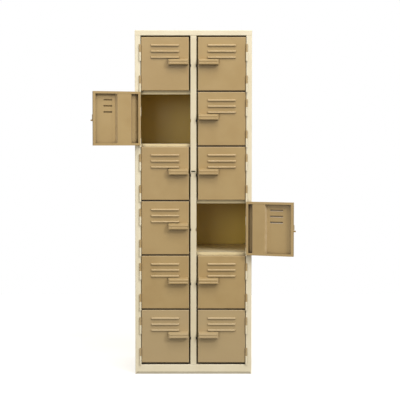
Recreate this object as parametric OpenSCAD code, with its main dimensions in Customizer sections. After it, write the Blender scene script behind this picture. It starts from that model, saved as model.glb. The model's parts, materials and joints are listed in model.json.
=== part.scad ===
// A two-column bank of twelve steel lockers with inset, louvred, lift-off-hinged doors.
// Millimetres. The origin is on the floor, at the centre of the cabinet's footprint.
// The doors face -Y, +X is to the right and +Z is up.

/* [Cabinet] */
// Width over the side panels
cab_w = 610; // [500:5:800]
// Depth from the face of the jambs to the rear flanges
cab_d = 450; // [300:10:600]
// Height from the floor to the top
cab_h = 1800; // [1500:10:2200]
// Sheet thickness of the cabinet
body_t = 1; // [0.7:0.1:1.5]
// Outer radius of the bends in the sheet
bend_r = 3.5; // [2:0.5:4]

/* [Front frame] */
// Width of each side jamb
jamb_w = 30; // [25:1:45]
// Width of the centre post
post_w = 32; // [28:1:50]
// Depth of the returns behind the jambs, the post and the top rail
return_d = 20; // [15:1:30]
// Height of the top rail
top_rail = 28; // [20:1:50]
// Height of the bottom rail
bottom_rail = 50; // [40:1:100]
// Height of the set-back foot of the bottom rail
toe_h = 9; // [9:1:20]
// How far the foot of the bottom rail is set back
toe_set = 3; // [1:0.5:4]
// Width of the floor flanges
floor_flange = 34; // [30:1:60]
// Radius of the floor bolt holes
floor_hole_r = 5.5; // [4:0.5:7]
// Radius of the wall fixing holes
wall_hole_r = 4; // [3:0.5:6]
// Radius of the holes that join neighbouring cabinets
nest_hole_r = 3.5; // [2.5:0.5:5]

/* [Doors] */
// Sheet thickness of the doors
door_t = 1; // [0.7:0.1:1.5]
// Depth of the door pans
door_d = 22; // [18:1:30]
// Outer radius of the door edges
door_r = 4; // [2.5:0.5:6]
// Width of the lip round the back of a door
door_lip = 12; // [8:1:16]
// Gap between a door and its jamb
hinge_gap = 2.5; // [2.4:0.1:4]
// Gap between a door and the centre post
latch_gap = 7; // [5:0.5:9]
// Gap between one door and the next
door_gap = 7; // [4:0.5:10]
// Gap above the top doors
top_gap = 7; // [4:0.5:12]
// Gap below the bottom doors
bottom_gap = 10; // [4:0.5:14]
// Angle at which the two open doors stand
open_angle = 162; // [0:1:170]

/* [Shelves] */
// Height of the front lip of a shelf
shelf_lip = 27; // [20:1:40]
// How far a shelf's top lies above the middle of the gap between two doors
shelf_rise = 12; // [6:1:18]
// Height of the upstand at the back of a shelf
shelf_back = 23; // [12:1:40]
// Depth of the flanges at the sides of a shelf
shelf_side = 14; // [10:1:25]
// Clearance between a shut door and a shelf lip
shelf_clear = 2; // [1:0.5:5]

/* [Louvres] */
// Length of a louvre
louvre_len = 149; // [100:1:180]
// Height and depth of a louvre's hood
louvre_r = 8.5; // [5:0.5:10]
// Distance from the door's top to the lip of the first louvre
louvre_first = 46.5; // [30:0.5:60]
// Distance from one louvre to the next
louvre_pitch = 31.4; // [24:0.2:33]

/* [Stiffener] */
// Sheet thickness of the stiffener
rib_t = 0.8; // [0.6:0.1:1.2]
// Distance from a left door's hinge edge to its stiffener
rib_edge = 24; // [9:1:40]
// Distance from a right door's hinge edge to its stiffener
rib_edge_right = 9; // [9:1:40]
// Width of each stiffener flange
rib_flange = 17; // [10:1:25]
// Width of each sloping web
rib_web = 8; // [4:1:12]
// Width of the stiffener's raised face on a left door
rib_face = 72; // [40:1:90]
// Width of the stiffener's raised face on a right door
rib_face_right = 65; // [40:1:90]

/* [Handle] */
// Sheet thickness of the handle
grip_t = 1.2; // [1:0.1:2]
// Length of the handle
grip_len = 104; // [80:1:130]
// How far the handle stands out from the door
grip_out = 32; // [28:1:50]
// Height of the handle's front face
grip_h = 24; // [20:1:34]
// How far the handle's top slopes down to the front
grip_fall = 9; // [4:0.5:14]
// Distance from the door's top to the handle's top
grip_top = 112; // [110:1:120]
// Distance from the handle's end to the door's latch edge
grip_edge = 4; // [0:0.5:10]
// Width of the hem under the handle's front face
grip_hem = 6; // [4:0.5:10]
// Depth of the groove along the handle's front face
grip_groove = 1.6; // [1:0.1:2.5]

/* [Hinges] */
// Diameter of the knuckles
knuckle_d = 10; // [9:0.5:12]
// Diameter of the pins
pin_d = 5; // [4:0.1:6]
// Radial running clearance of a door knuckle on its pin
pin_clear = 0.05; // [0.02:0.01:0.1]
// Gap between the knuckles and the face of the frame
knuckle_stand = 0.4; // [0.3:0.1:1]
// Distance from the edge of the jamb to the pin
pin_inset = 2.5; // [2.2:0.1:3]
// Thickness of the hinge leaves
leaf_t = 1.8; // [1.5:0.1:2]
// Depth of the hinge leaves
leaf_d = 19; // [12:0.5:20]
// Height of a door knuckle
door_knuckle_h = 40; // [30:1:44]
// Height of a frame knuckle
frame_knuckle_h = 46; // [30:1:50]
// Thickness of the washer between two knuckles
washer_t = 0.9; // [0.5:0.1:1.5]
// Distance from the end of a door to its nearest door knuckle
hinge_end = 38; // [30:1:44]

/* [Latch tongue and coin slot] */
// Height of the notches in the centre post
notch_h = 15; // [10:1:20]
// Depth of the notches in the centre post
notch_w = 4; // [3.5:0.1:5]
// Distance from a door's top to the middle of its notch
notch_top = 149; // [147:1:160]
// Height of the latch tongue
tongue_h = 8; // [5:1:9]
// How far the tongue reaches past the edge of the post
tongue_reach = 3; // [1:0.5:3]
// Width of the coin slot
slot_w = 22; // [18:1:24]
// Height of the coin slot
slot_h = 7; // [4.5:0.5:8]
// Thickness of the coin slot's rim plate
slot_plate_t = 2.5; // [1.5:0.5:4]
// Width of the rim round the coin slot
slot_rim = 4.5; // [3:0.5:4.5]

/* [Hidden] */
rows = 6;
bend_steps = 4;     // flats along a bend
past = 1;           // how far a cut runs past the solid it cuts
opened = [[-1, 2], [1, 4]];     // [side, row] of the doors that stand open
slot_row = 3;       // the coin slot is level with the handles of this row
cream = [0.90, 0.86, 0.74];
tan_paint = [0.68, 0.59, 0.41];

half_w = cab_w / 2;
front = -cab_d / 2;
back = cab_d / 2;
inner_x = half_w - body_t;
jamb_x = half_w - jamb_w;
opening_w = jamb_x - post_w / 2;
return_y = front + return_d;
rail_z = cab_h - top_rail;
back_y = back - body_t;         // rear face of the back panel
web_x = body_t / 2;             // half the thickness of the partition

door_w = opening_w - hinge_gap - latch_gap;
door_h = (rail_z - bottom_rail - top_gap - bottom_gap - (rows - 1) * door_gap) / rows;
door_pitch = door_h + door_gap;
pin_x = jamb_x + pin_inset;
pin_y = front - knuckle_d / 2 - knuckle_stand;
door_x = pin_inset + hinge_gap;             // a door's hinge edge, from its pin
door_y = knuckle_d / 2 + knuckle_stand;     // a door's face, from its pin
shelf_y = front + door_d + shelf_clear;
knuckle_gap = washer_t + 2 * pin_clear;     // between a door knuckle and a frame knuckle
pin_short = 4;                  // how far a pin stops below the top of its door knuckle
leaf_start = 2.2;               // where a leaf leaves its knuckle, from the pin's axis
tongue_y = 3;                   // the tongue's face, behind the face of the door
coin_drop = 40;                 // height of the room behind and below the coin slot
slot_z = door_z(slot_row) + door_h - grip_top - grip_fall / 2 - grip_h / 2;
floor_bolt_x = half_w - 65;
floor_bolt_y = back_y - body_t - floor_flange / 2;
wall_hole_x = half_w - 105;
wall_hole_z = [cab_h - 150, 250];
nest_hole_y = back - 75;
nest_hole_z = [cab_h - 300, 300];

door_pieces = ["panel", "stiffener", "handle", "hinge_knuckles"];

function door_node(side, row, piece) = str(side < 0 ? "left" : "right", "_door_", row, "_", piece);
// Height of the bottom edge of the doors in a row, counted from the top
function door_z(row) = rail_z - top_gap - door_h - (row - 1) * door_pitch;
// Heights of a door's two hinges: the bottom of each door knuckle, from the door's bottom
function hinge_heights() = [door_h - hinge_end - door_knuckle_h, hinge_end];
function swing(side, row) = len([for (o = opened) if (o == [side, row]) o]) > 0 ? open_angle : 0;

// ---- Folded sheet: an outline given by the outer face of the sheet, with rounded bends ----
function left_of(v) = [-v[1], v[0]];
function unit(v) = v / norm(v);
function turn_side(a, b) = sign(a[0] * b[1] - a[1] * b[0]);
function backwards(list) = [for (i = [len(list) - 1:-1:0]) list[i]];
// The arc that rounds the corner q between the directions a and b
function bend(q, a, b, r) =
    let (side = turn_side(a, b), turn = acos(a * b),
         start = q - a * r * tan(turn / 2), centre = start + side * r * left_of(a),
         from = atan2(start[1] - centre[1], start[0] - centre[0]))
    [for (i = [0:bend_steps]) centre + r * [cos(from + side * turn * i / bend_steps),
                                            sin(from + side * turn * i / bend_steps)]];
// One face of a folded sheet: off is 0 for the outline itself and t for the face to its left
function fold_face(outline, t, r, off) =
    let (last = len(outline) - 1,
         d = [for (i = [0:last - 1]) unit(outline[i + 1] - outline[i])])
    concat([outline[0] + off * left_of(d[0])],
           [for (i = [1:last - 1])
               let (q = outline[i] + off * (left_of(d[i - 1]) + left_of(d[i])) / (1 + d[i - 1] * d[i]))
               each bend(q, d[i - 1], d[i], turn_side(d[i - 1], d[i]) > 0 ? r - off : r - t + off)],
           [outline[last] + off * left_of(d[last - 1])]);
module folded(outline, t, r) {
    polygon(concat(fold_face(outline, t, r, 0), backwards(fold_face(outline, t, r, t))));
}
// Extrudes an outline drawn in Y and Z along X
module along_x(x0, x1) {
    translate([x0, 0, 0]) rotate([90, 0, 90]) linear_extrude(x1 - x0) children();
}
module box(low, high) {
    translate(low) cube(high - low);
}
module hole_y(x, z, r) {
    translate([x, back_y + past, z]) rotate([90, 0, 0]) cylinder(r = r, h = body_t + 2 * past, $fn = 48);
}

// ---- Cabinet ----
// The mitre between the left jamb and the bottom rail, from the floor up, in X and Z
mitre = [[bend_r - half_w, -past], [bend_r - half_w, 0], [-jamb_x, bottom_rail]];
// What lies on one side of the mitre, as a block through the front of the frame
module mitre_cut(outline) {
    translate([0, return_y + past / 2, 0]) rotate([90, 0, 0]) linear_extrude(return_d + past)
        polygon(outline);
}
module below_jamb() {
    x = bend_r - jamb_x;
    mitre_cut(concat(mitre, [[x, bottom_rail], [x, -past]]));
}
module beside_rail() {
    x = -half_w - past;
    mitre_cut(concat(mitre, [[-jamb_x, bottom_rail + past], [x, bottom_rail + past], [x, -past]]));
}
module side_shell() {
    flange = 15;
    difference() {
        linear_extrude(cab_h - body_t)
            folded([[-half_w + flange, back], [-half_w, back], [-half_w, front], [-jamb_x, front],
                    [-jamb_x, return_y]], body_t, bend_r);
        below_jamb();
        for (y = [-nest_hole_y, nest_hole_y], z = nest_hole_z)
            translate([-half_w - past, y, z]) rotate([0, 90, 0])
                cylinder(r = nest_hole_r, h = body_t + 2 * past, $fn = 48);
    }
}
module left_side_panel() {
    color(cream) side_shell();
}
module right_side_panel() {
    color(cream) mirror([1, 0, 0]) side_shell();
}
module back_panel() {
    color(cream) difference() {
        box([bend_r - half_w, back_y - body_t, 0], [half_w - bend_r, back_y, cab_h - body_t]);
        for (x = [-wall_hole_x, wall_hole_x], z = wall_hole_z) hole_y(x, z, wall_hole_r);
    }
}
module top_panel() {
    face = front - body_t;      // the top rail laps over the jambs
    color(cream) difference() {
        along_x(-half_w, half_w)
            folded([[back, cab_h], [face, cab_h], [face, rail_z], [return_y, rail_z]], body_t, bend_r);
        for (side = [0, 1]) mirror([side, 0, 0])
            box([jamb_x, front, rail_z - past], [half_w + past, return_y + past, cab_h - body_t]);
    }
}
module base() {
    rear = back_y - body_t;
    color(cream) difference() {
        along_x(bend_r - half_w, half_w - bend_r)
            folded([[rear - floor_flange, 0], [rear, 0], [rear, bottom_rail], [front, bottom_rail],
                    [front, toe_h + toe_set], [front + toe_set, toe_h - toe_set],
                    [front + toe_set, 0], [floor_flange - rear, 0]], body_t, bend_r);
        beside_rail();
        mirror([1, 0, 0]) beside_rail();
        for (x = [-floor_bolt_x, floor_bolt_x], y = [-floor_bolt_y, floor_bolt_y])
            translate([x, y, -past]) cylinder(r = floor_hole_r, h = body_t + 2 * past, $fn = 48);
    }
}
module centre_partition() {
    flange = 11;
    color(cream) difference() {
        translate([0, 0, bottom_rail]) linear_extrude(cab_h - body_t - bottom_rail)
            folded([[flange, front + 2 * body_t], [web_x, front + 2 * body_t],
                    [web_x, back_y - body_t], [-flange, back_y - body_t]], body_t, body_t * 1.5);
        box([-flange - past, front, slot_z - coin_drop],
            [flange + past, return_y, slot_z + slot_h / 2 + past]);
        box([-flange - past, front, rail_z], [flange + past, return_y, rail_z + body_t]);
    }
}
module centre_post() {
    x = post_w / 2;
    color(cream) difference() {
        translate([0, 0, bottom_rail]) linear_extrude(rail_z - bottom_rail)
            folded([[-x, return_y], [-x, front], [x, front], [x, return_y]], body_t, bend_r);
        for (side = [-1, 1], row = [1:rows])
            translate([side * (x - notch_w / 2), front, door_z(row) + door_h - notch_top])
                cube([notch_w, 2 * notch_w + 2 * tongue_y, notch_h], center = true);
        box([-slot_w / 2, front - past, slot_z - slot_h / 2],
            [slot_w / 2, front + body_t + past, slot_z + slot_h / 2]);
    }
}
module coin_slot_plate() {
    w = slot_w / 2 + slot_rim;
    h = slot_h / 2 + slot_rim;
    rim_r = 3;
    color(cream) translate([0, front, slot_z]) rotate([90, 0, 0]) difference() {
        linear_extrude(slot_plate_t) polygon(concat(
            bend([-w, -h], [0, -1], [1, 0], rim_r), bend([w, -h], [1, 0], [0, 1], rim_r),
            bend([w, h], [0, 1], [-1, 0], rim_r), bend([-w, h], [-1, 0], [0, -1], rim_r)));
        cube([slot_w, slot_h, 2 * slot_plate_t + 2 * past], center = true);
    }
}
module shelf(top_z) {
    low = [-inner_x, shelf_y, top_z - shelf_lip];
    high = [-web_x, back_y - 2 * body_t, top_z];
    under = top_z - body_t;
    ears = [[bend_r - half_w, -bend_r - jamb_x], [bend_r - post_w / 2, -web_x]];
    box([low[0], low[1], under], high);
    box(low, [high[0], low[1] + body_t, top_z]);
    box([low[0], high[1] - body_t, under], [high[0], high[1], top_z + shelf_back]);
    for (x = [low[0], high[0] - body_t])
        box([x, low[1], top_z - shelf_side], [x + body_t, high[1] - shelf_back, top_z]);
    // the ears shut the channels behind the jamb and the post between one compartment and the next
    for (ear = ears)
        box([ear[0], front + 3 * body_t, under], [ear[1], low[1] + body_t, top_z]);
}
module shelves() {
    color(cream) for (side = [0, 1], row = [1:rows - 1])
        mirror([side, 0, 0]) shelf(door_z(row) - door_gap / 2 + shelf_rise);
}

// ---- Hinges: the frame knuckle is below, and the door knuckle drops over the pin above it ----
module at_hinge(side, row) {
    for (z = hinge_heights())
        translate([side * pin_x, pin_y, door_z(row) + z]) mirror([side > 0 ? 1 : 0, 0, 0]) children();
}
module knuckle(h, bore_r, leaf_x) {
    difference() {
        union() {
            cylinder(d = knuckle_d, h = h, $fn = 48);
            box([leaf_x, leaf_start, 0], [leaf_x + leaf_t, leaf_start + leaf_d, h]);
        }
        translate([0, 0, -past]) cylinder(r = bore_r, h = h + 2 * past, $fn = 48);
    }
}
module frame_hinge_knuckles() {
    color(cream) for (side = [-1, 1], row = [1:rows]) at_hinge(side, row)
        translate([0, 0, -knuckle_gap - frame_knuckle_h]) knuckle(frame_knuckle_h, pin_d / 2, pin_inset);
}
module hinge_pins() {
    color("silver") for (side = [-1, 1], row = [1:rows]) at_hinge(side, row)
        translate([0, 0, -knuckle_gap - frame_knuckle_h])
            cylinder(d = pin_d, h = frame_knuckle_h + knuckle_gap + door_knuckle_h - pin_short, $fn = 48);
}
module hinge_washers() {
    color("goldenrod") for (side = [-1, 1], row = [1:rows]) at_hinge(side, row)
        translate([0, 0, -knuckle_gap]) difference() {
            cylinder(d = knuckle_d, h = washer_t, $fn = 48);
            translate([0, 0, -past]) cylinder(d = pin_d, h = washer_t + 2 * past, $fn = 48);
        }
}

// ---- Doors, drawn with the pin on the Z axis and the door's bottom at Z = 0 ----
module at_door(side, row) {
    translate([side * pin_x, pin_y, door_z(row)]) mirror([side > 0 ? 1 : 0, 0, 0])
        rotate([0, 0, -swing(side, row)]) children();
}
// A block w by d by h whose edges round the face at Y = 0 have radius r
module pan_block(w, d, h, r) {
    intersection() {
        linear_extrude(h) polygon(concat([[w, d], [0, d]], bend([0, 0], [0, -1], [1, 0], r),
                                         bend([w, 0], [1, 0], [0, 1], r)));
        along_x(0, w) polygon(concat([[d, 0], [d, h]], bend([0, h], [-1, 0], [0, -1], r),
                                     bend([0, 0], [0, -1], [1, 0], r)));
    }
}
// A quarter-round hood whose lip is at Z = 0 and whose ends curve back to the door
module hood(len, r) {
    intersection() {
        along_x(-len / 2, len / 2)
            polygon(concat([[0, 0]], [for (i = [0:6]) r * [-cos(i * 15), sin(i * 15)]]));
        translate([0, 0, -past]) linear_extrude(r + 2 * past)
            polygon(concat([[len / 2, 0], [-len / 2, 0]], bend([-len / 2, -r], [0, -1], [1, 0], r * 0.9),
                           bend([len / 2, -r], [1, 0], [0, 1], r * 0.9)));
    }
}
module louvre_hood() {
    difference() {
        hood(louvre_len, louvre_r);
        hood(louvre_len - 2 * door_t, louvre_r - door_t);
    }
}
module at_louvres() {
    for (i = [0:2])
        translate([door_w / 2, 0, door_h - louvre_first - i * louvre_pitch]) children();
}
module door_panel() {
    slot = louvre_len / 2 - louvre_r;
    tongue_z = door_h - notch_top - tongue_h / 2;
    color(tan_paint) translate([door_x, door_y, 0]) {
        difference() {
            pan_block(door_w, door_d, door_h, door_r);
            translate([door_t, door_t, door_t])
                pan_block(door_w - 2 * door_t, door_d, door_h - 2 * door_t, door_r - door_t);
            at_louvres() box([-slot, -past, 0], [slot, door_t + past, louvre_r - door_t]);
        }
        difference() {
            box([0, door_d - door_t, 0], [door_w, door_d, door_h]);
            box([door_lip, door_d - 2 * door_t, door_lip],
                [door_w - door_lip, door_d + past, door_h - door_lip]);
        }
        at_louvres() louvre_hood();
        box([door_w - door_t, tongue_y, tongue_z],
            [door_w + latch_gap + tongue_reach, tongue_y + 1.5, tongue_z + tongue_h]);
    }
}
module door_stiffener(side) {
    rise = door_d - door_t - rib_t;     // the raised face tucks behind the door's lip
    edge = side < 0 ? rib_edge : rib_edge_right;
    x1 = edge + rib_flange;
    x2 = x1 + rib_web;
    x3 = x2 + (side < 0 ? rib_face : rib_face_right);
    x4 = x3 + rib_web;
    color(tan_paint) translate([door_x, door_y, door_r])
        linear_extrude(door_h - 2 * door_r)
            folded([[edge, door_t], [x1, door_t], [x2, rise], [x3, rise], [x4, door_t],
                    [x4 + rib_flange, door_t]], rib_t, 2.5);
}
module door_handle() {
    low = -grip_fall - grip_h;
    lip_r = 3.5;
    end_r = [9, 4];     // rounding of the free end and of the end at the latch edge
    g = -grip_fall - grip_h / 3;
    profile = [[0, 0], [-grip_out, -grip_fall], [-grip_out, g], [-grip_out + grip_groove, g - grip_groove],
               [-grip_out + grip_groove, g - grip_h / 3 + grip_groove], [-grip_out, g - grip_h / 3],
               [-grip_out, low], [0, low]];
    color(tan_paint)
    translate([door_x + door_w - grip_edge - grip_len, door_y, door_h - grip_top]) difference() {
        intersection() {
            along_x(0, grip_len) polygon(handle_face(profile, 0, lip_r));
            handle_plan(0, end_r);
        }
        intersection() {
            along_x(0, grip_len) polygon(concat(handle_face(profile, grip_t, lip_r), [[past, low + grip_t]]));
            handle_plan(grip_t, end_r);
        }
        box([grip_t, grip_hem - grip_out, low - past], [grip_len - grip_t, past, low + 2 * grip_t]);
    }
}
// The handle's outline, rounded at its top and bottom edges, off inside its outer face
function handle_face(profile, off, r) =
    let (last = len(profile) - 1,
         d = [for (i = [0:last - 1]) unit(profile[i + 1] - profile[i])])
    concat([profile[0] + off * left_of(d[0])],
           [for (i = [1:last - 1])
               let (q = profile[i] + off * (left_of(d[i - 1]) + left_of(d[i])) / (1 + d[i - 1] * d[i]))
               each (i == 1 || i == last - 1 ? bend(q, d[i - 1], d[i], r - off) : [q])],
           [profile[last] + off * left_of(d[last - 1])]);
// The handle seen from above, with rounded front corners, off inside its outer face
module handle_plan(off, end_r) {
    y = off - grip_out;
    reach = grip_fall + grip_h + 2 * past;
    translate([0, 0, -reach]) linear_extrude(reach + past)
        polygon(concat([[grip_len - off, past], [off, past]],
                       bend([off, y], [0, -1], [1, 0], end_r[0] - off),
                       bend([grip_len - off, y], [1, 0], [0, 1], end_r[1] - off)));
}
module door_hinge_knuckles() {
    color(tan_paint) for (z = hinge_heights())
        translate([0, 0, z]) knuckle(door_knuckle_h, pin_d / 2 + pin_clear, door_x - leaf_t);
}

left_side_panel();
right_side_panel();
back_panel();
top_panel();
base();
centre_partition();
centre_post();
coin_slot_plate();
shelves();
frame_hinge_knuckles();
hinge_pins();
hinge_washers();
for (side = [-1, 1], row = [1:rows]) {
    at_door(side, row) door_panel();
    at_door(side, row) door_stiffener(side);
    at_door(side, row) door_handle();
    at_door(side, row) door_hinge_knuckles();
}
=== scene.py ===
"""Looks of a bank of twelve coin operated lockers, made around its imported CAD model.

The sheet steel is enamelled in cream and tan, the hinge pins are zinc-plated rod and the washers are brass.
Everything is in metres, in the frame of the CAD model: +Z is up and the doors face -Y.
"""

import json
import math

import bpy
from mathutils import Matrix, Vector


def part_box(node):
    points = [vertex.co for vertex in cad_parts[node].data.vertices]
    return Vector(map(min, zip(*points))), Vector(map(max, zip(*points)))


MM = 0.001

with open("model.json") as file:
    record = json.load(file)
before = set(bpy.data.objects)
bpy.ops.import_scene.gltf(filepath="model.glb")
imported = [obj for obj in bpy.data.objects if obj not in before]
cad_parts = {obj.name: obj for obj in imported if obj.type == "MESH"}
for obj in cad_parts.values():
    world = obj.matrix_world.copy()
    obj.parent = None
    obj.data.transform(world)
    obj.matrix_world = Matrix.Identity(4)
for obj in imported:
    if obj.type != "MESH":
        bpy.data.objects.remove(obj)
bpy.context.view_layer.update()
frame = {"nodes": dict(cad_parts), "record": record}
NODES = frame["nodes"]


# ---- Sizes taken from the frame ----
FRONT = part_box("left_side_panel")[0].y
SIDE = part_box("right_side_panel")[1].x
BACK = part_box("back_panel")[0].y
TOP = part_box("top_panel")[1].z
LATCH_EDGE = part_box("right_door_1_handle")[0].x - 4 * MM
ROW_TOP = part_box("left_door_6_panel")[1].z
POST_LOW, POST_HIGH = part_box("centre_post")

# ---- Sizes of the coat and its painted shade ----
SKIN = (0.4 * MM, 0.6 * MM)         # where a sheet's outer face ends and its inner face begins
LIP_DEPTH = (14 * MM, 25 * MM)      # behind the front, over which the painted shade and warm bounce light deepen on the lips
ROOM_DEPTH = (27 * MM, 300 * MM)    # behind the front, over which the painted shade deepens in the compartments
LIP_SHARE = 0.38                    # how much of the painted shade the lips get
NEAR_GROUND = (4 * MM, 14 * MM)     # heights below which the painted gap shade is light, and above which it is full
POST_TINT_END = 20 * MM                # over which the post's darker tint fades at its ends
GAP_SHADE = (60, 37, 15)                # the colour of the painted shade in gaps, in sRGB


# ---- Node helpers ----
class Paint:
    """A material's node tree, with one short method for each kind of node it uses."""

    def __init__(self, name):
        self.material = bpy.data.materials.new(name)
        self.material.use_nodes = True
        self.tree = self.material.node_tree
        self.tree.nodes.clear()
        self.place = self.node("ShaderNodeTexCoord").outputs["Object"]
        self.shader = self.node("ShaderNodeBsdfPrincipled")
        output = self.node("ShaderNodeOutputMaterial")
        self.tree.links.new(self.shader.outputs["BSDF"], output.inputs["Surface"])

    def node(self, kind, inputs=None, **settings):
        made = self.tree.nodes.new(kind)
        for name, value in settings.items():
            setattr(made, name, value)
        for name, value in (inputs or {}).items():
            self.plug(made.inputs[name], value)
        return made

    def plug(self, socket, value):
        if isinstance(value, bpy.types.NodeSocket):
            self.tree.links.new(value, socket)
        else:
            socket.default_value = value

    def set(self, **inputs):
        for name, value in inputs.items():
            self.plug(self.shader.inputs[name.replace("_", " ")], value)

    def stretched(self, x, y, z):
        """The object's coordinates, with each axis scaled."""
        inputs = {"Vector": self.place, "Scale": (x, y, z)}
        return self.node("ShaderNodeMapping", inputs).outputs["Vector"]

    def noise(self, size, detail=2.0, roughness=0.5, place=None):
        """Noise whose blotches are about size metres across."""
        inputs = {"Vector": place or self.place, "Scale": 1 / size, "Detail": detail, "Roughness": roughness}
        return self.node("ShaderNodeTexNoise", inputs).outputs["Fac"]

    def cells(self, size):
        """Distance to the nearest of many scattered points, size metres apart."""
        inputs = {"Vector": self.place, "Scale": 1 / size, "Randomness": 1.0}
        return self.node("ShaderNodeTexVoronoi", inputs).outputs["Distance"]

    def span(self, value, low, high, start=0.0, end=1.0):
        """Start where value is at most low, end where it is at least high, and smooth in between."""
        inputs = {"Value": value, "From Min": low, "From Max": high, "To Min": start, "To Max": end}
        node = self.node("ShaderNodeMapRange", inputs, interpolation_type="SMOOTHSTEP", clamp=True)
        return node.outputs["Result"]

    def maths(self, operation, a, b=0.0):
        node = self.node("ShaderNodeMath", operation=operation)
        self.plug(node.inputs[0], a)
        self.plug(node.inputs[1], b)
        return node.outputs[0]

    def product(self, first, *others):
        for other in others:
            first = self.maths("MULTIPLY", first, other)
        return first

    def axis(self, vector, name):
        return self.node("ShaderNodeSeparateXYZ", {"Vector": vector}).outputs[name]

    def mix(self, factor, a, b):
        node = self.node("ShaderNodeMix", data_type="RGBA")
        self.plug(node.inputs["Factor"], factor)
        self.plug(node.inputs["A"], a)
        self.plug(node.inputs["B"], b)
        return node.outputs["Result"]

    def bump(self, height, distance, normal=None):
        inputs = {"Height": height, "Distance": distance, "Strength": 1.0}
        if normal is not None:
            inputs["Normal"] = normal
        return self.node("ShaderNodeBump", inputs).outputs["Normal"]

    def edges(self, radius):
        """1 on sharp convex or concave edges and 0 on flats."""
        rounded = self.node("ShaderNodeBevel", {"Radius": radius}, samples=4).outputs["Normal"]
        plain = self.node("ShaderNodeNewGeometry").outputs["Normal"]
        dot = self.node("ShaderNodeVectorMath", operation="DOT_PRODUCT")
        self.plug(dot.inputs[0], rounded)
        self.plug(dot.inputs[1], plain)
        return self.span(dot.outputs["Value"], 0.97, 0.80)

    def crevice(self, reach, shut, open):
        """1 in gaps that other sheets shut in to within reach metres, and 0 on open faces."""
        node = self.node("ShaderNodeAmbientOcclusion", {"Distance": reach}, samples=6)
        return self.span(node.outputs["AO"], shut, open, 1.0, 0.0)

    def bends(self):
        """1 on the rounded bends of the sheet, whose normals lie between the object's axes."""
        normal = self.node("ShaderNodeTexCoord").outputs["Normal"]
        x, y, z = [self.maths("ABSOLUTE", self.axis(normal, name)) for name in "XYZ"]
        return self.span(self.maths("MAXIMUM", x, self.maths("MAXIMUM", y, z)), 0.80, 0.92, 1.0, 0.0)

    def facing_up(self):
        """1 on level upward faces, where dust settles."""
        normal = self.node("ShaderNodeNewGeometry").outputs["Normal"]
        return self.span(self.axis(normal, "Z"), 0.75, 0.95)


def rgb(red, green, blue):
    """A colour given in sRGB from 0 to 255, as linear values."""
    shares = (red / 255, green / 255, blue / 255)
    linear = [c / 12.92 if c <= 0.04045 else ((c + 0.055) / 1.055) ** 2.4 for c in shares]
    return (*linear, 1.0)


# ---- Materials ----
def painted_depth_shade(p):
    """How much painted shade and warm bounce light the inner colour gives: 0 on the outside of the cabinet,
    up to 1 deep in its compartments, and less on floors.
    """
    depth = p.axis(p.place, "Y")
    lip = p.span(depth, FRONT + LIP_DEPTH[0], FRONT + LIP_DEPTH[1], 0.0, LIP_SHARE)
    room = p.span(depth, FRONT + ROOM_DEPTH[0], FRONT + ROOM_DEPTH[1], 0.0, 1.0 - LIP_SHARE)
    floor = p.span(p.facing_up(), 0.0, 1.0, 1.0, 0.55)
    aside = p.maths("ABSOLUTE", p.axis(p.place, "X"))
    within = p.span(aside, SIDE - SKIN[1], SIDE - SKIN[0], 1.0, 0.0)
    below = p.span(p.axis(p.place, "Z"), TOP - SKIN[1], TOP - SKIN[0], 1.0, 0.0)
    ahead = p.span(depth, BACK + SKIN[0], BACK + SKIN[1], 1.0, 0.0)
    return p.product(p.maths("ADD", lip, room), floor, within, below, ahead)


def post_tint(p, aside, height, patchy):
    """The stretch of the centre post that gets a darker tint, and 0 on the rails above and below it."""
    across = p.span(aside, POST_HIGH.x + 0.5 * MM, POST_HIGH.x + 1.5 * MM, 0.35, 0.0)
    above = p.span(height, POST_LOW.z, POST_LOW.z + POST_TINT_END)
    below = p.span(height, POST_HIGH.z - POST_TINT_END, POST_HIGH.z, 1.0, 0.0)
    return p.product(across, patchy, above, below)


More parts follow.
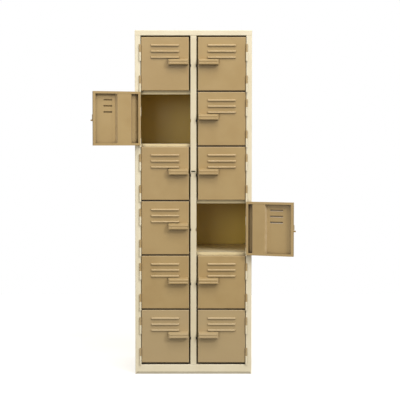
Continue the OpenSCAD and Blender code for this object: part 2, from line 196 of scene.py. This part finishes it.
def enamel(name, coat, deep, dusty, worn, bend_highlight, reach, inner=None, latch_shade=None):
    """Sprayed enamel on sheet steel: orange peel, blotches, dust on ledges, worn edges, scuffs, painted
    shade and highlights.

    The paler bend colour is a painted highlight on the outside of the bends. Gaps that other sheets shut in
    within reach metres get painted shade. The inner colour, on the cabinet only, is a darker brown coat in
    the compartments, blended in with depth as painted shade and warm bounce light. The tongue colour, on
    doors only, paints the tongues that enter the post near-black, as the painted shade in its notches. The
    centre post gets a darker tint, and the lowest doors are paler and greyer.
    """
    p = Paint(name)
    aside = p.maths("ABSOLUTE", p.axis(p.place, "X"))
    height = p.axis(p.place, "Z")
    blotch = p.noise(0.16, 3.0, 0.55)
    patchy = p.span(blotch, 0.2, 0.7, 0.7, 1.0)
    streak = p.noise(0.05, 3.0, 0.6, p.stretched(1.0, 1.0, 0.18))
    colour = p.mix(p.span(blotch, 0.35, 0.7), coat, deep)
    colour = p.mix(p.span(streak, 0.55, 0.85, 0.0, 0.35), colour, deep)
    # Inside the compartments the inner colour is a darker brown coat, blended in with depth as painted shade
    # and warm bounce light.
    if inner is not None:
        colour = p.mix(painted_depth_shade(p), colour, inner)

    speck = p.span(p.cells(0.035), 0.035, 0.06, 1.0, 0.0)
    mark = p.product(speck, p.span(p.noise(0.23, 1.0), 0.56, 0.62), 0.35)
    colour = p.mix(mark, colour, worn)
    settled = 0.3 if inner is not None else 0.4
    dust = p.product(p.facing_up(), p.span(p.noise(0.03, 4.0, 0.7), 0.3, 0.75, 0.05, settled))
    colour = p.mix(dust, colour, dusty)
    # The outside of the bends is painted paler: a painted highlight.
    bends = p.bends()
    colour = p.mix(p.product(bends, p.span(p.noise(0.02, 3.0), 0.3, 0.7, 0.35, 0.6)), colour, bend_highlight)
    rub = p.product(p.edges(0.8 * MM), p.span(p.noise(0.012, 3.0, 0.6), 0.55, 0.75, 0.0, 0.4))
    colour = p.mix(rub, colour, worn)

    if latch_shade is None:
        # The centre post gets a darker tint.
        colour = p.mix(post_tint(p, aside, height, patchy), colour, worn)
    else:
        # The lowest row of doors is paler and greyer.
        lowest_row = p.span(height, ROW_TOP, ROW_TOP + 6 * MM, 0.5, 0.0)
        colour = p.mix(p.product(lowest_row, patchy), colour, dusty)
    # Painted shade: gaps that other sheets shut in are darkened, less on the bends and near the ground.
    open_face = p.product(p.span(bends, 0.0, 1.0, 1.0, 0.15), p.span(height, *NEAR_GROUND, 0.3, 1.0))
    colour = p.mix(p.product(p.crevice(reach, 0.24, 0.58), open_face), colour, rgb(*GAP_SHADE))
    # Painted shade: the tongues that enter the post are painted near-black, as the shade in its notches.
    if latch_shade is not None:
        tongue = p.span(aside, LATCH_EDGE - 0.6 * MM, LATCH_EDGE - 0.2 * MM, 1.0, 0.0)
        colour = p.mix(tongue, colour, latch_shade)

    peel = p.noise(2.6 * MM, 2.0, 0.5)
    grain = p.noise(0.5 * MM, 1.0, 0.5)
    smear = p.span(p.noise(0.06, 4.0, 0.65), 0.3, 0.75, 0.30, 0.44)
    rough = p.maths("ADD", smear, p.product(dust, 0.35))
    normal = p.bump(grain, 0.006 * MM, p.bump(peel, 0.05 * MM))
    p.set(Base_Color=colour, Roughness=rough, Normal=normal, Specular_IOR_Level=0.5, Metallic=0.0)
    return p.material


def zinc_plate():
    """Zinc-plated rod, with fine drawing lines along it and dull patches."""
    p = Paint("zinc_plated_steel")
    lines = p.noise(0.6 * MM, 3.0, 0.6, p.stretched(1.0, 1.0, 0.02))
    patch = p.noise(6 * MM, 4.0, 0.7)
    colour = p.mix(p.span(patch, 0.4, 0.7), rgb(205, 206, 204), rgb(150, 148, 142))
    rough = p.span(p.maths("ADD", lines, patch), 0.7, 1.4, 0.25, 0.5)
    p.set(Base_Color=colour, Roughness=rough, Normal=p.bump(lines, 0.01 * MM), Metallic=1.0)
    return p.material


def turned_brass():
    """Turned brass, slightly tarnished, with rings from the lathe."""
    p = Paint("turned_brass")
    rings = p.noise(0.3 * MM, 2.0, 0.5, p.stretched(0.2, 0.2, 1.0))
    tarnish = p.noise(3 * MM, 4.0, 0.6)
    colour = p.mix(p.span(tarnish, 0.45, 0.7), rgb(214, 178, 100), rgb(128, 98, 52))
    rough = p.span(tarnish, 0.3, 0.7, 0.25, 0.5)
    p.set(Base_Color=colour, Roughness=rough, Normal=p.bump(rings, 0.01 * MM), Metallic=1.0)
    return p.material


def dress(node, material):
    """Gives a CAD node its material and slightly rounded, smoothly shaded edges."""
    mesh = node.data
    mesh.materials.clear()
    mesh.materials.append(material)
    mesh.polygons.foreach_set("use_smooth", [True] * len(mesh.polygons))
    weld = node.modifiers.new("weld", "WELD")
    weld.merge_threshold = 0.005 * MM
    flats = node.modifiers.new("flats", "DECIMATE")
    flats.decimate_type = "DISSOLVE"
    flats.angle_limit = math.radians(0.2)
    bevel = node.modifiers.new("edges", "BEVEL")
    bevel.width = 0.22 * MM
    bevel.segments = 2
    bevel.limit_method = "ANGLE"
    bevel.angle_limit = math.radians(40)
    bevel.harden_normals = False
    bevel.use_clamp_overlap = True
    shade = node.modifiers.new("shade", "WEIGHTED_NORMAL")
    shade.weight = 60
    shade.keep_sharp = True


cream = enamel(
    "cream_enamel",
    coat=rgb(232, 222, 196),
    deep=rgb(226, 215, 186),
    dusty=rgb(214, 206, 184),
    worn=rgb(196, 182, 148),
    bend_highlight=rgb(246, 238, 214),
    reach=32 * MM,
    inner=rgb(208, 178, 76),
)
tan = enamel(
    "tan_enamel",
    coat=rgb(177, 151, 104),
    deep=rgb(171, 144, 97),
    dusty=rgb(184, 166, 132),
    worn=rgb(150, 125, 84),
    bend_highlight=rgb(213, 193, 158),
    reach=40 * MM,
    latch_shade=rgb(40, 31, 20),
)
MATERIALS = {
    "frame_paint": cream,
    "door_paint": tan,
    "steel_pin": zinc_plate(),
    "brass_washer": turned_brass(),
}
for subpart in frame["record"]["subparts"]:
    dress(NODES[subpart["node"]], MATERIALS[subpart["material_slot"]])


# ---- Stage: floor, light and camera ----
def pale_floor(size):
    bpy.ops.mesh.primitive_plane_add(size=size, location=(0, 0, -0.5 * MM))
    floor = bpy.context.object
    floor.name = "floor"
    p = Paint("pale_floor")
    shade = p.span(p.noise(0.4, 3.0), 0.3, 0.7)
    p.set(
        Base_Color=p.mix(shade, (0.50, 0.50, 0.50, 1.0), (0.54, 0.54, 0.54, 1.0)),
        Roughness=0.7,
        Emission_Color=(1.0, 1.0, 1.0, 1.0),
        Emission_Strength=0.55,
    )
    floor.data.materials.append(p.material)
    floor.visible_diffuse = floor.visible_glossy = False


def white_room(above, level, below, tint, backdrop):
    """A surround lit level all round, and above and below as stated. The camera sees it as plain white."""
    world = bpy.data.worlds.new("white_room")
    bpy.context.scene.world = world
    world.use_nodes = True
    tree = world.node_tree
    tree.nodes.clear()
    seen = tree.nodes.new("ShaderNodeBackground")
    seen.inputs["Color"].default_value = (1.0, 1.0, 1.0, 1.0)
    seen.inputs["Strength"].default_value = backdrop
    lit = tree.nodes.new("ShaderNodeBackground")
    lit.inputs["Color"].default_value = tint
    ways = tree.nodes.new("ShaderNodeTexCoord")
    split = tree.nodes.new("ShaderNodeSeparateXYZ")
    tree.links.new(ways.outputs["Generated"], split.inputs["Vector"])
    strengths = []
    for start, end, low, high in ((-0.35, 0.0, below, level), (0.0, 0.6, 0.0, above - level)):
        ramp = tree.nodes.new("ShaderNodeMapRange")
        for name, value in (("From Min", start), ("From Max", end), ("To Min", low), ("To Max", high)):
            ramp.inputs[name].default_value = value
        tree.links.new(split.outputs["Z"], ramp.inputs["Value"])
        strengths.append(ramp.outputs["Result"])
    total = tree.nodes.new("ShaderNodeMath")
    for strength, socket in zip(strengths, total.inputs):
        tree.links.new(strength, socket)
    tree.links.new(total.outputs["Value"], lit.inputs["Strength"])
    rays = tree.nodes.new("ShaderNodeLightPath")
    mix = tree.nodes.new("ShaderNodeMixShader")
    output = tree.nodes.new("ShaderNodeOutputWorld")
    tree.links.new(rays.outputs["Is Camera Ray"], mix.inputs["Fac"])
    tree.links.new(lit.outputs["Background"], mix.inputs[1])
    tree.links.new(seen.outputs["Background"], mix.inputs[2])
    tree.links.new(mix.outputs["Shader"], output.inputs["Surface"])


def softbox(name, place, target, size, power):
    light = bpy.data.lights.new(name, "AREA")
    light.shape = "SQUARE"
    light.size = size
    light.energy = power
    holder = bpy.data.objects.new(name, light)
    bpy.context.scene.collection.objects.link(holder)
    holder.location = place
    holder.rotation_euler = (Vector(target) - Vector(place)).to_track_quat("-Z", "Y").to_euler()


def photographer(place, tilt_deg, lens, shift):
    camera = bpy.data.objects.new("camera", bpy.data.cameras.new("camera"))
    bpy.context.scene.collection.objects.link(camera)
    camera.location = place
    camera.rotation_euler = (math.radians(90 - tilt_deg), 0, 0)
    camera.data.lens = lens
    camera.data.shift_x, camera.data.shift_y = shift
    bpy.context.scene.camera = camera


pale_floor(5)
white_room(above=1.0, level=0.50, below=0.22, tint=(1.0, 0.95, 0.85, 1.0), backdrop=1.0)
softbox("key", place=(4.8, -5.9, 5.3), target=(0, 0, 1.3), size=1.7, power=250)
softbox("overhead", place=(0.6, -2.6, 4.9), target=(0, 0, 1.0), size=1.6, power=58)
softbox("fill", place=(-2.0, -6.8, 2.1), target=(0, 0, 1.3), size=2.0, power=64)
photographer(place=(0, FRONT - 5.3, 1.23), tilt_deg=2.18, lens=91.4, shift=(0.0165, -0.0535))
bpy.context.scene.view_settings.view_transform = "Standard"
